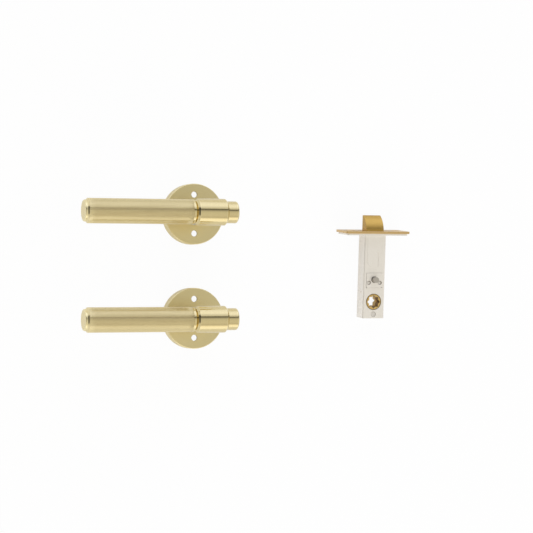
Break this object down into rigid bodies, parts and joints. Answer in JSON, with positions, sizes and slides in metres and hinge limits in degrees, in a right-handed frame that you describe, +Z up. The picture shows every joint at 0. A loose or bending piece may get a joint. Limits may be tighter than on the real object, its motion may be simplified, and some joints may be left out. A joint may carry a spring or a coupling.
{
  "type": "privacy lever set",
  "caption": "Privacy door lever set: reeded brass bar levers on round roses, outside and inside, with a tubular spring latch whose hub, bolt and privacy pin move.",
  "frame": {"origin": "centre of the whole set's footprint, on the surface that it lies on", "axes": "+X along the levers from their grips towards the latch, +Y across the set towards the outside lever and the way the bolt points, +Z up from the surface"},
  "size_m": [0.29, 0.1358, 0.0658],
  "materials": {
    "satin_brass": "satin",
    "turned_brass": "satin",
    "polished_brass": "polished",
    "reeded_brass": "reeded satin",
    "faceplate_brass": "satin",
    "bolt_brass": "brushed",
    "hub_brass": "turned",
    "nickel_steel": "satin nickel plate",
    "plunger_steel": "turned",
    "zinc_steel": "zinc plate",
    "spring_steel": "drawn wire",
    "bush_nylon": "moulded"
  },
  "bodies": {
    "set_base": {"outside_rose": "satin_brass", "outside_neck_bush": "bush_nylon", "outside_return_spring": "spring_steel", "inside_rose": "satin_brass", "inside_neck_bush": "bush_nylon", "inside_return_spring": "spring_steel", "latch_faceplate": "faceplate_brass", "latch_backplate": "nickel_steel", "latch_case_front": "nickel_steel", "latch_case_rear": "nickel_steel", "latch_tail_rivet": "nickel_steel", "latch_privacy_plate": "nickel_steel", "latch_spring_stop": "zinc_steel", "latch_bolt_spring": "spring_steel"},
    "outside_lever": {"outside_neck": "turned_brass", "outside_grub_screw": "spring_steel", "outside_stop_washer": "zinc_steel", "outside_circlip": "spring_steel", "outside_collar": "polished_brass", "outside_grip": "reeded_brass", "outside_ferrule": "polished_brass", "outside_grip_cap": "satin_brass", "outside_end_button": "polished_brass", "outside_core_rod": "zinc_steel"},
    "inside_lever": {"inside_neck": "turned_brass", "inside_grub_screw": "spring_steel", "inside_stop_washer": "zinc_steel", "inside_circlip": "spring_steel", "inside_collar": "polished_brass", "inside_grip": "reeded_brass", "inside_ferrule": "polished_brass", "inside_grip_cap": "satin_brass", "inside_end_button": "polished_brass", "inside_core_rod": "zinc_steel"},
    "spring_bolt": {"latch_bolt": "bolt_brass", "latch_fork": "zinc_steel", "latch_fork_pin": "zinc_steel"},
    "privacy_pin": {"latch_privacy_plunger": "plunger_steel"},
    "spindle_hub": {"latch_hub": "hub_brass"}
  },
  "joints": [
    {"name": "outside_lever_turn", "type": "hinge", "parent": "set_base", "child": "outside_lever", "pos_m": [-0.0406, 0.04285, 0], "axis": [0, 0, 1], "range_deg": [0, 40], "stiffness_Nm_per_rad": 0.6, "springref_deg": -20.05, "deforming": ["outside_return_spring"]},
    {"name": "inside_lever_turn", "type": "hinge", "parent": "set_base", "child": "inside_lever", "pos_m": [-0.0406, -0.04285, 0], "axis": [0, 0, 1], "range_deg": [0, 40], "stiffness_Nm_per_rad": 0.6, "springref_deg": -20.05, "deforming": ["inside_return_spring"]},
    {"name": "hub_turn", "type": "hinge", "parent": "set_base", "child": "spindle_hub", "pos_m": [0.1164, -0.02918, 0.00768], "axis": [0, -0.0858, 0.9963], "range_deg": [0, 60]},
    {"name": "bolt_slide", "type": "slide", "parent": "set_base", "child": "spring_bolt", "axis": [0, 0.9963, 0.0858], "range_m": [-0.012, 0], "stiffness_N_per_m": 250, "springref_m": 0.012, "deforming": ["latch_bolt_spring"]},
    {"name": "plunger_press", "type": "slide", "parent": "set_base", "child": "privacy_pin", "axis": [0, -0.0858, 0.9963], "range_m": [-0.003, 0]}
  ],
  "couplings": [
    {"joint": "hub_turn", "follows": "bolt_slide", "rad_per_m": -87.266}
  ]
}
